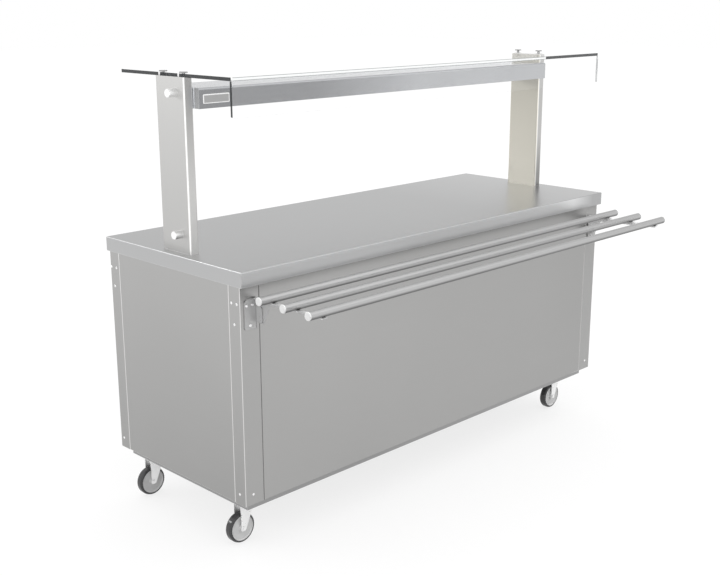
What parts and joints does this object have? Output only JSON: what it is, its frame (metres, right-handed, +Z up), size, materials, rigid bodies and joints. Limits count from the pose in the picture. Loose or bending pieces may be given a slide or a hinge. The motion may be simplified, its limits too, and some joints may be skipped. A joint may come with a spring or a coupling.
{
  "type": "ambient serving counter",
  "caption": "Mobile stainless serving cupboard on castors with a lit glass gantry over the worktop, a fold-down tubular tray rail and sliding doors on the operator side",
  "frame": {"origin": "on the floor under the middle of the whole footprint, tray rail included", "axes": "+X along the counter to the right as seen from the customer side, which faces -Y; +Z up"},
  "size_m": [1.8, 0.9685, 1.435],
  "materials": {
    "worktop_steel": "brushed stainless, grain along the counter",
    "panel_steel": "satin brushed stainless",
    "gantry_steel": "fine brushed, near mirror at the bends",
    "inner_steel": "plain mill-finish sheet",
    "rail_steel": "polished tube",
    "bracket_steel": "satin brushed stainless",
    "bright_metal": "polished",
    "glass": "clear toughened glass with dark green edges",
    "soft_pad": "matt soft washer",
    "pale_plastic": "smooth nylon",
    "aluminium": "natural anodised",
    "opal_plastic": "opal, light-diffusing",
    "dark_plastic": "smooth moulded",
    "castor_zinc": "bright zinc plate",
    "wheel_grey": "moulded light grey",
    "tyre_rubber": "dark non-marking rubber"
  },
  "bodies": {
    "cabinet": {"worktop": "worktop_steel", "post_front_left": "panel_steel", "post_front_right": "panel_steel", "post_rear_left": "panel_steel", "post_rear_right": "panel_steel", "front_panel": "panel_steel", "end_panel_left": "panel_steel", "end_panel_right": "panel_steel", "door_header": "panel_steel", "door_sill": "panel_steel", "upright_left": "gantry_steel", "upright_right": "gantry_steel", "canopy": "gantry_steel", "worktop_stiffeners": "inner_steel", "base_pan": "inner_steel", "castor_bearers": "inner_steel", "mid_shelf": "inner_steel", "shelf_angles": "inner_steel", "tray_plate_left": "bracket_steel", "tray_plate_right": "bracket_steel", "tray_pivots": "bracket_steel", "end_studs": "bright_metal", "glass_fixings": "bright_metal", "glass_shelf": "glass", "glass_front": "glass", "glass_pads": "soft_pad", "top_track": "aluminium", "bottom_track": "aluminium", "light_strips": "aluminium", "light_diffuser": "opal_plastic", "light_driver": "dark_plastic", "switch_bezel": "dark_plastic", "mains_inlet": "dark_plastic", "castor_plates": "castor_zinc"},
    "tray_rail": {"tray_arm_left": "bracket_steel", "tray_arm_right": "bracket_steel", "tray_tube_inner": "rail_steel", "tray_tube_middle": "rail_steel", "tray_tube_outer": "rail_steel", "tray_tube_caps": "pale_plastic"},
    "door_left": {"door_left_panel": "panel_steel", "door_left_pull": "bright_metal", "door_left_glides": "pale_plastic"},
    "door_right": {"door_right_panel": "panel_steel", "door_right_pull": "bright_metal", "door_right_glides": "pale_plastic"},
    "light_switch": {"switch_rocker": "dark_plastic"},
    "swivel_front_left": {"castor_fork_front_left": "castor_zinc"},
    "wheel_front_left": {"castor_wheel_front_left": "wheel_grey", "castor_tyre_front_left": "tyre_rubber"},
    "swivel_front_right": {"castor_fork_front_right": "castor_zinc"},
    "wheel_front_right": {"castor_wheel_front_right": "wheel_grey", "castor_tyre_front_right": "tyre_rubber"},
    "swivel_rear_left": {"castor_fork_rear_left": "castor_zinc"},
    "wheel_rear_left": {"castor_wheel_rear_left": "wheel_grey", "castor_tyre_rear_left": "tyre_rubber"},
    "swivel_rear_right": {"castor_fork_rear_right": "castor_zinc"},
    "wheel_rear_right": {"castor_wheel_rear_right": "wheel_grey", "castor_tyre_rear_right": "tyre_rubber"}
  },
  "joints": [
    {"name": "tray_rail_fold", "type": "hinge", "parent": "cabinet", "child": "tray_rail", "pos_m": [0, -0.20375, 0.755], "axis": [1, 0, 0], "range_deg": [0, 90]},
    {"name": "door_left_slide", "type": "slide", "parent": "cabinet", "child": "door_left", "axis": [1, 0, 0], "range_m": [0, 0.812]},
    {"name": "door_right_slide", "type": "slide", "parent": "cabinet", "child": "door_right", "axis": [-1, 0, 0], "range_m": [0, 0.812]},
    {"name": "light_switch_rock", "type": "hinge", "parent": "cabinet", "child": "light_switch", "pos_m": [-0.745, 0.23775, 1.36], "axis": [1, 0, 0], "range_deg": [0, 16]},
    {"name": "swivel_front_left_turn", "type": "hinge", "parent": "cabinet", "child": "swivel_front_left", "pos_m": [-0.815, -0.06525, 0.1406], "axis": [0, 0, 1], "continuous": true},
    {"name": "wheel_front_left_roll", "type": "hinge", "parent": "swivel_front_left", "child": "wheel_front_left", "pos_m": [-0.827, -0.06525, 0.049], "axis": [0, 1, 0], "continuous": true},
    {"name": "swivel_front_right_turn", "type": "hinge", "parent": "cabinet", "child": "swivel_front_right", "pos_m": [0.815, -0.06525, 0.1406], "axis": [0, 0, 1], "continuous": true},
    {"name": "wheel_front_right_roll", "type": "hinge", "parent": "swivel_front_right", "child": "wheel_front_right", "pos_m": [0.803, -0.06525, 0.049], "axis": [0, 1, 0], "continuous": true},
    {"name": "swivel_rear_left_turn", "type": "hinge", "parent": "cabinet", "child": "swivel_rear_left", "pos_m": [-0.815, 0.41675, 0.1406], "axis": [0, 0, 1], "continuous": true},
    {"name": "wheel_rear_left_roll", "type": "hinge", "parent": "swivel_rear_left", "child": "wheel_rear_left", "pos_m": [-0.827, 0.41675, 0.049], "axis": [0, 1, 0], "continuous": true},
    {"name": "swivel_rear_right_turn", "type": "hinge", "parent": "cabinet", "child": "swivel_rear_right", "pos_m": [0.815, 0.41675, 0.1406], "axis": [0, 0, 1], "continuous": true},
    {"name": "wheel_rear_right_roll", "type": "hinge", "parent": "swivel_rear_right", "child": "wheel_rear_right", "pos_m": [0.803, 0.41675, 0.049], "axis": [0, 1, 0], "continuous": true}
  ]
}
